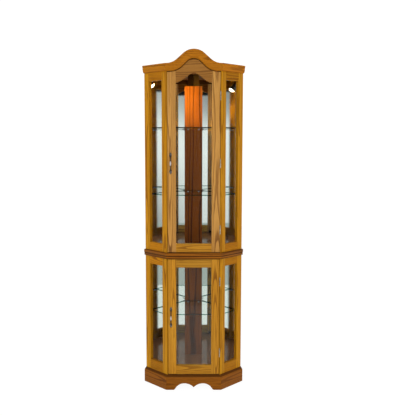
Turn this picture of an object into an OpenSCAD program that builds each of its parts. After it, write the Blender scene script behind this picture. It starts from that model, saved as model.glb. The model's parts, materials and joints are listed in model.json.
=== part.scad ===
/* [Cabinet] */
// Overall width, measured over the crown moulding
cabinet_w = 539.75; // [480:0.25:600]
// Width of the front face, between the corners beside the doors
front_w = 280.5; // [240:0.5:320]
// Overall height, to the top of the arched crown
cabinet_h = 1778; // [1600:1:1950]

/* [Levels] */
// Height of the base moulding
base_h = 80; // [70:1:100]
// Height of the top of the waist moulding, the floor of the upper part
waist_z = 738.5; // [650:0.5:820]
// Height of the waist moulding
waist_h = 33; // [26:1:45]
// Height of the crown moulding at the cabinet's shoulders
crown_h = 38.5; // [30:0.5:50]
// Rise of the arch along the crown's top edge
crown_rise = 70; // [50:1:90]
// Rise of the arch along the crown's lower edge
door_rise = 63.5; // [45:0.5:80]

/* [Mouldings] */
// How far the crown stands out from the body
crown_overhang = 14; // [10:0.5:18]
// How far the waist moulding stands out from the body
waist_overhang = 10; // [6:0.5:12]
// How far the base moulding stands out from the body
base_overhang = 14; // [10:0.5:14]
// Height of the scallops cut in the front of the base
scallop_h = 36; // [25:1:45]
// Height of the point between the two scallops
scallop_point_h = 14.5; // [8:0.5:20]
// Flat foot at each end of the front of the base
skirt_foot_w = 32; // [20:1:45]

/* [Side frames] */
// Thickness of the side frames
frame_t = 19; // [16:0.5:24]
// Width of the side frame stiles
stile_w = 36; // [30:1:42]
// Width of the side frame rails that shows beside a moulding
rail_w = 42.5; // [35:0.5:55]
// Width of the lowest side rail that shows above the base
foot_rail_w = 52; // [45:1:65]
// Flat land on the front corner, beside the door
land_w = 2.5; // [1.5:0.1:4]

/* [Doors] */
// Thickness of the doors
door_t = 19; // [17:0.5:21]
// Width of the door stiles
door_stile_w = 43; // [36:1:52]
// Width of the rails next to the waist
door_rail_w = 44; // [36:1:55]
// Width of the lower door's bottom rail
door_foot_rail_w = 48.5; // [40:0.5:60]
// Gap at each side of a door, which holds the hinge leaves
door_gap = 2.6; // [2.6:0.1:3.4]
// Gap above and below a door
door_gap_z = 2.5; // [2:0.1:4]
// Gap between the arched door top and the crown
arch_gap = 4; // [3:0.1:6]
// Rise of the arch over the upper door's glass
glass_rise = 50.5; // [35:0.5:60]
// Height of that arch's ends below the ends of the door's top
glass_drop = 57; // [50:0.5:70]

/* [Glass and mirrors] */
// Thickness of the door and side panes
glass_t = 3; // [3:0.5:5]
// Depth of the grooves that hold the panes
groove_d = 7; // [5:0.5:9]
// Thickness of the back boards
back_t = 12; // [6:0.5:15]
// Thickness of the mirrors
mirror_t = 4; // [3:0.5:5]
// Thickness of the glass shelves
shelf_t = 6; // [5:0.5:8]
// Distance of the shelves' front edge behind the door's face
shelf_front = 30; // [28:0.5:40]
// Height of the lower part's shelf above the base
low_shelf_rise = 315.5; // [200:0.5:420]
// Height of the upper part's lower shelf above the waist
middle_shelf_rise = 294.5; // [200:0.5:400]
// Distance of the upper part's higher shelf below the cabinet's shoulder
high_shelf_drop = 325; // [240:1:420]

/* [Rear cover] */
// Width of the wooden cover over the rear corner
cover_w = 99; // [80:1:130]
// Thickness of that cover
cover_t = 12; // [9:0.5:18]
// Distance of the upper cover's top below the cabinet's shoulder
cover_drop = 87; // [70:1:150]

/* [Hardware] */
// Length of a hinge barrel
hinge_h = 38; // [30:1:50]
// Distance of the outer hinges from the ends of a door
hinge_inset = 118; // [90:1:150]
// Overall length of a door pull
pull_l = 114; // [90:1:130]
// How far the bar of a pull stands out from the door
pull_rise = 20; // [16:0.5:26]
// Distance of a pull from the door's edge
pull_inset = 15.5; // [13:0.5:24]

/* [Lamp] */
// Distance of the lamp to the left of the cabinet's middle
lamp_left = 138; // [125:1:142]
// Distance of the lamp's stem behind the door's face
lamp_y = 105; // [90:1:115]
// Radius of the lamp's can
lamp_r = 17; // [14:0.5:20]
// Height of the lamp's can
lamp_h = 36; // [28:1:42]
// Distance of the lamp's knuckle below the cabinet's shoulder
lamp_drop = 60; // [50:1:90]
// Angle by which the lamp leans towards the rear
lamp_tilt = 38; // [0:1:45]

/* [Hidden] */

$fn = 48;
root2 = sqrt(2);
over = 5;                       // overrun of cuts
bite = 1;                       // overlap of two shapes that are one piece
curve_steps = 56;               // stations along an arched edge

// Plan: the sides stand square to the two walls of a room's corner, and the front faces the room.
side_angle = 45;
mitre = side_angle / 2;
body_half = cabinet_w / 2 - crown_overhang / root2;
front_half = front_w / 2;
side_depth = body_half - front_half;
side_l = side_depth * root2;
apex_y = body_half + side_depth;
wall_l = body_half * root2;
land_x = front_half - land_w;
inner_front = front_half - frame_t * root2;
edge_end_y = frame_t * root2 - land_w;

// Levels
shoulder_z = cabinet_h - crown_rise;
crown_z = shoulder_z - crown_h;
panel_t = 18;
ceiling_z = shoulder_z - panel_t;
waist_low_z = waist_z - waist_h;
skirt_t = 19;
base_step = 2;                  // ledge at the top of the base's moulding
base_cove_r = 5;                // hollow below that ledge
base_fillet = 1.5;
base_round_h = 13.5;            // rounding between the fillet and the plain face
scallop_share = 0.355;          // place of a scallop's middle along half the front
scallop_steep_share = 0.9;      // steepness and crest of a scallop's outer half
scallop_crest_share = 0.85;

// Panes and grooves
pane_fit = 0.3;
groove_w = glass_t + 2 * pane_fit;
pane_bite = groove_d - pane_fit;
tongue_fit = 0.2;
side_groove_y = (frame_t - groove_w) / 2;
door_groove_y = (door_t - groove_w) / 2;
upper_side_z = [waist_z + rail_w, crown_z - rail_w];
lower_side_z = [base_h + foot_rail_w, waist_low_z - rail_w];

// Doors
door_half = land_x - door_gap;
open_half = door_half - door_stile_w;
stop_gap = 1;
stop_t = 8;
stop_cover = 5.65;             // reach of a stop behind the door's edge
upper_door_z = waist_z + door_gap_z;
upper_door_end_z = crown_z - arch_gap;
lower_door_z = base_h + door_gap_z;
lower_door_end_z = waist_low_z - door_gap_z;
glass_arch_z = upper_door_end_z - glass_drop;
pane_cover = 4;                 // pane above the peak of the arch
upper_slot_z = glass_arch_z + glass_rise + pane_cover;
upper_open_z = upper_door_z + door_rail_w;
lower_open_z = [lower_door_z + door_foot_rail_w, lower_door_end_z - door_rail_w];

// Arches: span as a share of the edge they cross, steepness and crest as shares
door_arch_share = 0.884;
door_steep_share = 0.83;
door_crest_share = 0.342;
crown_steep_share = 0.79;
crown_crest_share = 0.5;
glass_arch_share = 1.215;
glass_steep_share = 0.75;
glass_crest_share = 0.3;

// Backs
rebate_w = 8;
back_stack = back_t + mirror_t;
board_start = frame_t - rebate_w + pane_fit;
mirror_line = apex_y - back_stack * root2;
mirror_stop = 60;               // bare corner behind the cover
cover_y = mirror_line - cover_w / 2;
chase_y = cover_y + cover_t;
cover_top_z = shoulder_z - cover_drop;
cord_notch_w = 24;
cord_notch_h = 30;

// Header over the door
header_fit = 0.4;
header_y = door_t + header_fit;
header_t = 12;
header_back_y = header_y + header_t;
header_lip = 3.5;               // how far the stop behind the door hangs below the crown
header_lip_z = crown_z - header_lip;

// Hinges
knuckle_gap = 0.2;
knuckle_r = 2.7;
leaf_t = (door_gap - knuckle_gap) / 2;
leaf_w = 15;
pin_r = 1.25;
pin_clear = 0.05;
pin_head = 2;
hinge_x = (land_x + door_half) / 2;
hinge_y = -(knuckle_r + knuckle_gap);
upper_hinges = [
  upper_door_z + hinge_inset,
  (upper_door_z + upper_door_end_z) / 2,
  upper_door_end_z - hinge_inset
];
lower_hinges = [lower_door_z + hinge_inset, lower_door_end_z - hinge_inset];

// Pulls
pull_x = -(door_half - pull_inset);
pull_bar_r = 2.4;
foot_l = 34;
foot_w = 13;
foot_t = 2.2;
pull_span = pull_l - foot_l;    // between the bar's ends, each in the middle of a foot
pull_radius = (pull_span * pull_span / 4 + pull_rise * pull_rise) / (2 * pull_rise);
pull_sweep = asin(pull_span / 2 / pull_radius);
bead_l = 22;
bead_r = 4.4;
collar_r = 4;
collar_h = 3.4;
upper_pull_z = (upper_door_z + upper_door_end_z) / 2;
lower_pull_z = (lower_door_z + lower_door_end_z) / 2;
pull_reach = pull_rise + bead_r;

// Catches
strike_t = 1.2;
strike_w = 26;
strike_h = 10;
catch_fit = 0.3;
catch_w = 30;
catch_d = 12;
catch_h = 14;
catch_x = -(open_half + door_stile_w / 2);
catch_y = door_t + strike_t + catch_fit;

// Shelf pins: under each shelf one in every stile and two in the corner cover
shelf_gap = 2;
shelf_pin_r = 2.5;
shelf_pin_depth = 7;
shelf_pin_clear = 0.05;
front_pin_x = (frame_t - land_w * root2 + stile_w) / 2;
rear_pin_in = 9;                // distance of the rear pins in front of the mirrors
rear_pin_x = side_l - back_stack - rear_pin_in;
cover_pin_share = 0.3;
cover_pin_x = cover_w * cover_pin_share;
paddle_l = 12;
paddle_w = 9;
paddle_t = 2;
pin_drop = shelf_pin_r + paddle_t - bite;
low_shelf_z = base_h + low_shelf_rise;
middle_shelf_z = waist_z + middle_shelf_rise;
high_shelf_z = shoulder_z - high_shelf_drop;
shelf_levels = [high_shelf_z, middle_shelf_z, low_shelf_z];

// Lamp
can_wall = 1.5;
bulb_fit = 1;
bulb_drop = 8;
stem_r = 4;
plate_r = 22;
plate_t = 3;
lamp_knuckle_r = 5.5;
lamp_knuckle_w = 12;
lamp_reach = 6;
lamp_pad_r = 7;
lamp_pad_t = 3;
lamp_knuckle_z = shoulder_z - lamp_drop;

// The frame's origin is on the floor, in the middle of the whole depth.
middle_y = (apex_y - pull_reach) / 2;

oak = "#b9823c";
dark_oak = "#7a4a22";
cover_oak = "#8a4a24";
glass_tint = [0.75, 0.86, 0.82, 0.35];
mirror_tint = "#c9d2d0";
bronze = "#5d5a52";
brass = "#b59a5a";
lamp_black = "#1b1b1c";
bulb_white = "#fff3d8";
board_brown = "#9a7a55";

module place() {
  translate([0, -middle_y, 0])
    children();
}

// Local frame of a side: x runs back from the front corner, y points inwards.
module flank(hand) {
  mirror([hand < 0 ? 1 : 0, 0, 0])
    translate([front_half, 0, 0])
      rotate([0, 0, side_angle])
        children();
}

// Local frame of a rear wall: x runs from the side to the rear corner, y points inwards.
module wall(hand) {
  mirror([hand < 0 ? 1 : 0, 0, 0])
    translate([body_half, side_depth, 0])
      rotate([0, 0, 90 + side_angle])
        children();
}

module hand_of(hand) {
  mirror([hand < 0 ? 1 : 0, 0, 0])
    children();
}

// A front outline in x and z, from depth y0 to y1
module slab(y0, y1) {
  translate([0, y1, 0])
    rotate([90, 0, 0])
      linear_extrude(y1 - y0)
        children();
}

// A moulding section in y and z, run along x
module run(l) {
  rotate([90, 0, 90])
    linear_extrude(l)
      children();
}

module block(low, high) {
  translate(low)
    cube(high - low);
}

// What lies beyond the mitre of a front corner: in front of it, or round the corner
module beyond_mitre(in_front) {
  reach = cabinet_w / 2;
  translate([front_half, 0, -over])
    rotate([0, 0, mitre])
      translate([in_front ? -reach : 0, -reach / 2, 0])
        cube([reach, reach, cabinet_h + 2 * over]);
}

// An ogee arch: height above its ends at x, for half a span and a rise.
// steep is a share of the steepest slope that two arcs alone would give.
function ogee(x, half, rise, steep, crest) =
  let (
    slope = steep * 2 * atan(rise / half),
    radii = (half * tan(slope) - rise) / (1 / cos(slope) - 1),
    top_r = radii * crest,
    foot_r = radii - top_r,
    u = abs(x)
  )
  u >= half ? 0
  : u >= half - foot_r * sin(slope) ? foot_r - sqrt(foot_r * foot_r - (half - u) * (half - u))
  : u <= top_r * sin(slope) ? rise - top_r + sqrt(top_r * top_r - u * u)
  : rise - top_r * (1 - cos(slope)) - (u - top_r * sin(slope)) * tan(slope);

function crown_top(x) =
  shoulder_z + ogee(x, front_half, crown_rise, crown_steep_share, crown_crest_share);
function crown_foot(x) =
  crown_z + ogee(x, front_half * door_arch_share, door_rise, door_steep_share, door_crest_share);
function door_top(x) = crown_foot(x) - arch_gap;
function glass_top(x) =
  glass_arch_z + ogee(x, open_half * glass_arch_share, glass_rise, glass_steep_share, glass_crest_share);

// Height of the base's lower edge above the floor: two scallops with a point between
// them, each ending in a flat foot
function scallop_z(x) =
  let (
    middle_x = front_half * scallop_share,
    drop = scallop_h - scallop_point_h,
    r = (middle_x * middle_x + drop * drop) / (2 * drop),
    u = abs(x)
  )
  u < middle_x
    ? scallop_h - r + sqrt(r * r - (middle_x - u) * (middle_x - u))
    : ogee(u - middle_x, front_half - skirt_foot_w - middle_x, scallop_h, scallop_steep_share, scallop_crest_share);

function stations(from, to) = [for (i = [0 : curve_steps]) from + (to - from) * i / curve_steps];

// Plan of a board that fills the body: front edge, distance from the sides' inner
// faces, distance from the walls, and where the rear corner is cut off
function body_plan(front_y, side_in, back_in, clip_y) =
  let (
    side_line = inner_front - side_in * root2,
    back_line = apex_y - back_in * root2,
    corner_x = (side_line + back_line) / 2,
    corner_y = (back_line - side_line) / 2,
    half = concat(
      front_y < edge_end_y ? [[land_x, front_y], [land_x, edge_end_y]] : [[front_y + side_line, front_y]],
      [[corner_x, corner_y]],
      clip_y < back_line ? [[back_line - clip_y, clip_y]] : [[0, back_line]]
    )
  )
  concat(half, [for (i = [len(half) - 1 : -1 : 0]) if (half[i].x > 0) [-half[i].x, half[i].y]]);

// Moulding sections, in y (negative outwards) and z
crown_lip = 3;
crown_fillet = 1.5;
crown_fillet_share = 0.78;
crown_curve_steps = 8;

// The crown's section as [stand-out, share of its height]
function crown_section() = concat(
  [[0, 0]],
  [for (i = [0 : crown_curve_steps])
    let (a = 90 * i / crown_curve_steps)
    [crown_lip + (crown_overhang - crown_fillet - crown_lip) * sin(a),
     crown_fillet_share * (1 - cos(a))]],
  [[crown_overhang, crown_fillet_share], [crown_overhang, 1], [0, 1]]
);

waist_round = 4;
waist_step = 2;
waist_groove = 2;
waist_split_share = 0.42;
round_steps = 6;

// The waist's section: a lower band set back, a groove, and a rounded upper band
function waist_section() =
  let (
    low = waist_low_z,
    split = waist_low_z + waist_h * waist_split_share,
    lower_out = waist_overhang - waist_step,
    r = waist_round
  )
  concat(
    [[0, low]],
    [for (i = [0 : round_steps])
      let (a = 90 * i / round_steps)
      [-(lower_out - r + r * sin(a)), low + r - r * cos(a)]],
    [[-lower_out, split], [-(lower_out - waist_groove), split],
     [-(lower_out - waist_groove), split + waist_groove], [-waist_overhang, split + waist_groove]],
    [for (i = [0 : round_steps])
      let (a = 90 * i / round_steps)
      [-(waist_overhang - r + r * cos(a)), waist_z - r + r * sin(a)]],
    [[0, waist_z]]
  );

// The base's section: a plain face, a rounding, a fillet and a hollow up to the body
function base_section() =
  let (
    fillet_out = base_step + base_cove_r,
    fillet_z = base_h - base_cove_r - base_fillet,
    round_w = base_overhang - fillet_out
  )
  concat(
    [[0, 0], [-base_overhang, 0]],
    [for (i = [0 : round_steps])
      let (a = 90 * i / round_steps)
      [-(fillet_out + round_w * cos(a)), fillet_z - base_round_h * (1 - sin(a))]],
    [for (i = [0 : round_steps])
      let (a = 90 * i / round_steps)
      [-(fillet_out - base_cove_r * sin(a)), base_h - base_cove_r * cos(a)]],
    [[0, base_h]]
  );

module side_moulding(hand, section) {
  hand_of(hand)
    difference() {
      flank(1)
        translate([-crown_overhang, 0, 0])
          run(side_l + crown_overhang)
            polygon(section);
      beyond_mitre(true);
    }
}

module front_nosing(section) {
  width = front_half + crown_overhang;
  difference() {
    translate([-width, 0, 0])
      run(2 * width)
        polygon(section);
    beyond_mitre(false);
    hand_of(-1)
      beyond_mitre(false);
  }
}

// Base
module base_front_skirt() {
  foot_x = front_half - skirt_foot_w;
  color(dark_oak)
    place()
      difference() {
        union() {
          front_nosing(base_section());
          block([-land_x, -bite, 0], [land_x, skirt_t - base_overhang, base_h]);
        }
        slab(-base_overhang - over, skirt_t)
          polygon(concat([[foot_x, -over], [-foot_x, -over]],
                         [for (x = stations(-foot_x, foot_x)) [x, scallop_z(x)]]));
      }
}

module base_left_skirt() {
  color(dark_oak)
    place()
      side_moulding(-1, base_section());
}

module base_right_skirt() {
  color(dark_oak)
    place()
      side_moulding(1, base_section());
}

// Boards across the body
module bottom_panel() {
  color(oak)
    place()
      translate([0, 0, base_h - panel_t])
        linear_extrude(panel_t)
          polygon(body_plan(skirt_t - base_overhang, 0, back_t, chase_y));
}

module waist_deck() {
  color(oak)
    place()
      translate([0, 0, waist_z - panel_t])
        linear_extrude(panel_t)
          polygon(body_plan(door_t, 0, back_t, chase_y));
}

module top_panel() {
  color(oak)
    place()
      translate([0, 0, ceiling_z])
        linear_extrude(panel_t)
          polygon(body_plan(header_back_y, 0, 0, apex_y));
}

// Waist
module waist_front_rail() {
  color(dark_oak)
    place()
      union() {
        front_nosing(waist_section());
        block([-land_x, -bite, waist_low_z], [land_x, door_t, waist_z]);
      }
}

module waist_left_moulding() {
  color(dark_oak)
    place()
      side_moulding(-1, waist_section());
}

module waist_right_moulding() {
  color(dark_oak)
    place()
      side_moulding(1, waist_section());
}

// Crown
module crown_header() {
  xs = stations(-land_x, land_x);
  back_xs = stations(land_x, -land_x);
  color(oak)
    place()
      union() {
        slab(0, header_y + bite)
          polygon(concat([for (x = xs) [x, crown_foot(x)]], [for (x = back_xs) [x, crown_top(x)]]));
        slab(header_y, header_back_y)
          polygon(concat([[-land_x, header_lip_z], [land_x, header_lip_z]],
                         [for (x = back_xs) [x, crown_top(x)]]));
      }
}

// The arched moulding is one sweep: each station holds the section between the lower
// and the upper edge, and the end stations lie in the mitres.
module crown_front_moulding() {
  section = crown_section();
  n = len(section);
  points = [for (s = stations(-1, 1)) for (q = section)
    let (x = s * (front_half + q[0] * tan(mitre)))
    [x, -q[0], crown_foot(x) + q[1] * (crown_top(x) - crown_foot(x))]];
  sides = [for (i = [0 : curve_steps - 1]) for (k = [0 : n - 1])
    let (a = i * n + k, b = i * n + (k + 1) % n)
    each [[a, b, b + n], [a, b + n, a + n]]];
  first = [for (k = [n - 1 : -1 : 0]) k];
  last = [for (k = [0 : n - 1]) curve_steps * n + k];
  color(oak)
    place()
      polyhedron(points, concat(sides, [first], [last]));
}

module crown_side(hand) {
  section = [for (q = crown_section()) [-q[0], crown_z + q[1] * crown_h]];
  color(oak)
    place()
      side_moulding(hand, section);
}

module crown_left_moulding() {
  crown_side(-1);
}

module crown_right_moulding() {
  crown_side(1);
}

// Side frames
module front_stile(hand) {
  color(oak)
    place()
      union() {
        flank(hand)
          difference() {
            linear_extrude(shoulder_z)
              polygon([[0, 0], [-land_w / root2, land_w / root2], [frame_t - land_w * root2, frame_t],
                       [stile_w, frame_t], [stile_w, 0]]);
            block([stile_w - groove_d, side_groove_y, -over],
                  [stile_w + over, side_groove_y + groove_w, shoulder_z + over]);
            shelf_pin_holes(front_pin_x);
          }
        door_stop(hand, base_h, waist_z - panel_t);
        door_stop(hand, waist_z, header_lip_z);
      }
}

// Lip of a front stile behind the edge of a door
module door_stop(hand, low_z, high_z) {
  front_y = door_t + stop_gap;
  back_y = front_y + stop_t;
  translate([0, 0, low_z])
    linear_extrude(high_z - low_z)
      polygon([for (p = [[door_half - stop_cover, front_y], [land_x + bite, front_y], [land_x + bite, edge_end_y],
                         [back_y + inner_front + bite, back_y], [door_half - stop_cover, back_y]])
        [hand * p[0], p[1]]]);
}

module rear_stile(hand) {
  color(oak)
    place()
      flank(hand)
        difference() {
          block([side_l - stile_w, 0, 0], [side_l, frame_t, shoulder_z]);
          block([side_l - stile_w - over, side_groove_y, -over],
                [side_l - stile_w + groove_d, side_groove_y + groove_w, shoulder_z + over]);
          block([side_l - back_stack - pane_fit, frame_t - rebate_w, -over],
                [side_l + over, frame_t + over, ceiling_z]);
          shelf_pin_holes(rear_pin_x);
        }
}

// Holes in a stile's inner face, one below each shelf
module shelf_pin_holes(x) {
  for (z = shelf_levels)
    translate([x, frame_t + over, z - pin_drop])
      rotate([90, 0, 0])
        cylinder(r = shelf_pin_r + shelf_pin_clear, h = shelf_pin_depth + over);
}

// A rail between the stiles, with a tongue at each end and grooves for the panes
module side_rail(hand, z0, z1, pane_below, pane_above) {
  tongue_z0 = z0 + (pane_below ? groove_d : 0);
  tongue_z1 = z1 - (pane_above ? groove_d : 0);
  groove_z = [side_groove_y, side_groove_y + groove_w];
  color(oak)
    place()
      flank(hand)
        difference() {
          union() {
            block([stile_w, 0, z0], [side_l - stile_w, frame_t, z1]);
            block([stile_w - pane_bite, groove_z[0] + tongue_fit, tongue_z0],
                  [side_l - stile_w + pane_bite, groove_z[1] - tongue_fit, tongue_z1]);
          }
          if (pane_below)
            block([0, groove_z[0], z0 - over], [side_l, groove_z[1], z0 + groove_d]);
          if (pane_above)
            block([0, groove_z[0], z1 - groove_d], [side_l, groove_z[1], z1 + over]);
        }
}

module left_front_stile() {
  front_stile(-1);
}

module right_front_stile() {
  front_stile(1);
}

module left_rear_stile() {
  rear_stile(-1);
}

module right_rear_stile() {
  rear_stile(1);
}

module left_top_rail() {
  side_rail(-1, upper_side_z[1], shoulder_z, true, false);
}

module right_top_rail() {
  side_rail(1, upper_side_z[1], shoulder_z, true, false);
}

module left_middle_rail() {
  side_rail(-1, lower_side_z[1], upper_side_z[0], true, true);
}

module right_middle_rail() {
  side_rail(1, lower_side_z[1], upper_side_z[0], true, true);
}

module left_foot_rail() {
  side_rail(-1, 0, lower_side_z[0], false, true);
}

module right_foot_rail() {
  side_rail(1, 0, lower_side_z[0], false, true);
}

module side_pane(hand, span) {
  color(glass_tint)
    place()
      flank(hand)
        block([stile_w - pane_bite, side_groove_y + pane_fit, span[0] - pane_bite],
              [side_l - stile_w + pane_bite, side_groove_y + pane_fit + glass_t, span[1] + pane_bite]);
}

module upper_left_pane() {
  side_pane(-1, upper_side_z);
}

module upper_right_pane() {
  side_pane(1, upper_side_z);
}

module lower_left_pane() {
  side_pane(-1, lower_side_z);
}

module lower_right_pane() {
  side_pane(1, lower_side_z);
}

// Backs: boards mitred at the rear corner, with mirrors on their inner faces
module back_board(hand) {
  color(board_brown)
    place()
      wall(hand)
        difference() {
          linear_extrude(ceiling_z)
            polygon([[board_start, 0], [wall_l, 0], [wall_l - back_t, back_t], [board_start, back_t]]);
          block([wall_l - cord_notch_w, -over, -over], [wall_l + over, back_t + over, cord_notch_h]);
        }
}

module left_back_board() {
  back_board(-1);
}

module right_back_board() {
  back_board(1);
}

module mirror_pane(hand, z0, z1) {
  color(mirror_tint)
    place()
      wall(hand)
        block([board_start, back_t, z0], [wall_l - mirror_stop, back_stack, z1 - pane_fit]);
}

module upper_left_mirror() {
  mirror_pane(-1, waist_z, ceiling_z);
}

module upper_right_mirror() {
  mirror_pane(1, waist_z, ceiling_z);
}

module lower_left_mirror() {
  mirror_pane(-1, base_h, waist_z - panel_t);
}

module lower_right_mirror() {
  mirror_pane(1, base_h, waist_z - panel_t);
}

// Wooden covers that hide the lamp's cord in the rear corner
module corner_cover(z0, z1, levels) {
  color(cover_oak)
    place()
      difference() {
        translate([0, 0, z0])
          linear_extrude(z1 - z0)
            polygon([[-cover_w / 2, cover_y], [cover_w / 2, cover_y],
                     [cover_w / 2 - cover_t, chase_y], [cover_t - cover_w / 2, chase_y]]);
        for (z = levels, hand = [-1, 1])
          translate([hand * cover_pin_x, cover_y + shelf_pin_depth, z - pin_drop])
            rotate([90, 0, 0])
              cylinder(r = shelf_pin_r + shelf_pin_clear, h = shelf_pin_depth + over);
      }
}

module upper_corner_cover() {
  corner_cover(waist_z, cover_top_z, [high_shelf_z, middle_shelf_z]);
}

module lower_corner_cover() {
  corner_cover(base_h, waist_z - panel_t - pane_fit, [low_shelf_z]);
}

// Shelves and their pins
module shelf(z) {
  color(glass_tint)
    place()
      translate([0, 0, z])
        linear_extrude(shelf_t)
          polygon(body_plan(shelf_front, shelf_gap, back_stack + shelf_gap, cover_y - shelf_gap));
}

module high_shelf() {
  shelf(high_shelf_z);
}

module middle_shelf() {
  shelf(middle_shelf_z);
}

module low_shelf() {
  shelf(low_shelf_z);
}

// A pin along y, its hole behind it at y = 0, with a paddle in front for the glass
module shelf_pin() {
  union() {
    translate([0, shelf_pin_depth, -pin_drop])
      rotate([90, 0, 0])
        cylinder(r = shelf_pin_r, h = shelf_pin_depth + paddle_l / 2);
    block([-paddle_w / 2, -paddle_l, -paddle_t], [paddle_w / 2, 0, 0]);
  }
}

module shelf_pins() {
  color(brass)
    place()
      for (z = shelf_levels) {
        for (hand = [-1, 1], x = [front_pin_x, rear_pin_x])
          flank(hand)
            translate([x, frame_t, z])
              mirror([0, 1, 0])
                shelf_pin();
        for (hand = [-1, 1])
          translate([hand * cover_pin_x, cover_y, z])
            shelf_pin();
      }
}

// Lamp, whose parts lean about the knuckle of its stem
module leaning() {
  place()
    translate([-lamp_left, lamp_y, lamp_knuckle_z])
      rotate([lamp_tilt, 0, 0])
        children();
}

module lamp_bracket() {
  color(lamp_black)
    union() {
      place()
        translate([-lamp_left, lamp_y, 0])
          union() {
            translate([0, 0, ceiling_z - plate_t])
              cylinder(r = plate_r, h = plate_t);
            translate([0, 0, lamp_knuckle_z])
              cylinder(r = stem_r, h = ceiling_z - plate_t - lamp_knuckle_z + bite);
          }
      leaning()
        union() {
          translate([-lamp_knuckle_w / 2, 0, 0])
            rotate([0, 90, 0])
              cylinder(r = lamp_knuckle_r, h = lamp_knuckle_w);
          translate([0, 0, -lamp_reach])
            cylinder(r = lamp_pad_r, h = lamp_pad_t);
        }
    }
}

module lamp_can() {
  color(lamp_black)
    leaning()
      translate([0, 0, -lamp_reach - lamp_h])
        difference() {
          cylinder(r = lamp_r, h = lamp_h);
          translate([0, 0, -over])
            cylinder(r = lamp_r - can_wall, h = lamp_h - can_wall + over);
        }
}

module lamp_bulb() {
  bulb_r = lamp_r - can_wall - bulb_fit;
  color(bulb_white)
    leaning()
      translate([0, 0, -lamp_reach - lamp_h])
        rotate_extrude()
          polygon(concat(
            [[0, lamp_h - can_wall], [bulb_r, lamp_h - can_wall]],
            [for (i = [0 : round_steps])
              let (a = 90 * i / round_steps)
              [bulb_r * cos(a), -bulb_drop * sin(a)]]
          ));
}

// Catches and strikes behind the lower corner of each door
module catch(z) {
  block([catch_x - catch_w / 2, catch_y, z], [catch_x + catch_w / 2, catch_y + catch_d, z + catch_h]);
}

module strike(z) {
  color(brass)
    place()
      block([catch_x - strike_w / 2, door_t, z + door_gap_z], [catch_x + strike_w / 2, door_t + strike_t,
             z + door_gap_z + strike_h]);
}

module door_catches() {
  color(dark_oak)
    place()
      for (z = [waist_z, base_h])
        catch(z);
}

// Hinges. The end knuckles belong to the frame leaf and the middle one to the door leaf.
knuckle_l = (hinge_h - 2 * knuckle_gap) / 3;

module knuckle(z0, z1) {
  translate([0, 0, z0])
    difference() {
      union() {
        cylinder(r = knuckle_r, h = z1 - z0);
        block([knuckle_gap / 2, 0, 0], [knuckle_gap / 2 + leaf_t, -hinge_y + bite, z1 - z0]);
      }
      translate([0, 0, -over])
        cylinder(r = pin_r + pin_clear, h = z1 - z0 + 2 * over);
    }
}

// Half a hinge about its own axis, with the leaf on the +x side
module half_hinge(spans) {
  union() {
    block([knuckle_gap / 2, -hinge_y, -hinge_h / 2], [knuckle_gap / 2 + leaf_t, leaf_w - hinge_y, hinge_h / 2]);
    for (s = spans)
      knuckle(s[0], s[1]);
  }
}

module hinge_pin() {
  translate([0, 0, -hinge_h / 2 - knuckle_gap])
    cylinder(r = pin_r, h = hinge_h + 2 * knuckle_gap);
  for (hand = [-1, 1])
    translate([0, 0, hand * (hinge_h / 2 + knuckle_gap + pin_head / 2)])
      cylinder(r = knuckle_r - knuckle_gap, h = pin_head, center = true);
}

module frame_hinge_leaves() {
  color(bronze)
    place()
      for (z = concat(upper_hinges, lower_hinges))
        translate([hinge_x, hinge_y, z]) {
          half_hinge([[-hinge_h / 2, -hinge_h / 2 + knuckle_l], [hinge_h / 2 - knuckle_l, hinge_h / 2]]);
          hinge_pin();
        }
}

module door_leaves(levels) {
  color(bronze)
    place()
      for (z = levels)
        translate([hinge_x, hinge_y, z])
          mirror([1, 0, 0])
            half_hinge([[-knuckle_l / 2, knuckle_l / 2]]);
}

// Doors
module upper_stile(hand) {
  xs = stations(open_half, door_half);
  color(oak)
    place()
      hand_of(hand)
        difference() {
          slab(0, door_t)
            polygon(concat([[door_half, upper_door_z], [open_half, upper_door_z]],
                           [for (x = xs) [x, door_top(x)]]));
          block([open_half - over, door_groove_y, upper_door_z - over],
                [open_half + groove_d, door_groove_y + groove_w, upper_slot_z]);
        }
}

module lower_stile(hand) {
  color(oak)
    place()
      hand_of(hand)
        difference() {
          block([open_half, 0, lower_door_z], [door_half, door_t, lower_door_end_z]);
          block([open_half - over, door_groove_y, lower_door_z - over],
                [open_half + groove_d, door_groove_y + groove_w, lower_door_end_z + over]);
        }
}

module door_rail(z0, z1, pane_below) {
  tongue_z = pane_below ? [z0 + groove_d, z1] : [z0, z1 - groove_d];
  cut_z = pane_below ? [z0 - over, z0 + groove_d] : [z1 - groove_d, z1 + over];
  color(oak)
    place()
      difference() {
        union() {
          block([-open_half, 0, z0], [open_half, door_t, z1]);
          block([-open_half - pane_bite, door_groove_y + tongue_fit, tongue_z[0]],
                [open_half + pane_bite, door_groove_y + groove_w - tongue_fit, tongue_z[1]]);
        }
        block([-door_half, door_groove_y, cut_z[0]], [door_half, door_groove_y + groove_w, cut_z[1]]);
      }
}

module upper_door_hinge_stile() {
  upper_stile(1);
}

module upper_door_pull_stile() {
  upper_stile(-1);
}

module lower_door_hinge_stile() {
  lower_stile(1);
}

module lower_door_pull_stile() {
  lower_stile(-1);
}

module upper_door_arched_rail() {
  color(oak)
    place()
      difference() {
        slab(0, door_t)
          polygon(concat([for (x = stations(-open_half, open_half)) [x, glass_top(x)]],
                         [for (x = stations(open_half, -open_half)) [x, door_top(x)]]));
        block([-door_half, door_groove_y, upper_door_z], [door_half, door_groove_y + groove_w, upper_slot_z]);
      }
}

module upper_door_foot_rail() {
  door_rail(upper_door_z, upper_open_z, false);
}

module lower_door_top_rail() {
  door_rail(lower_open_z[1], lower_door_end_z, true);
}

module lower_door_foot_rail() {
  door_rail(lower_door_z, lower_open_z[0], false);
}

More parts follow.
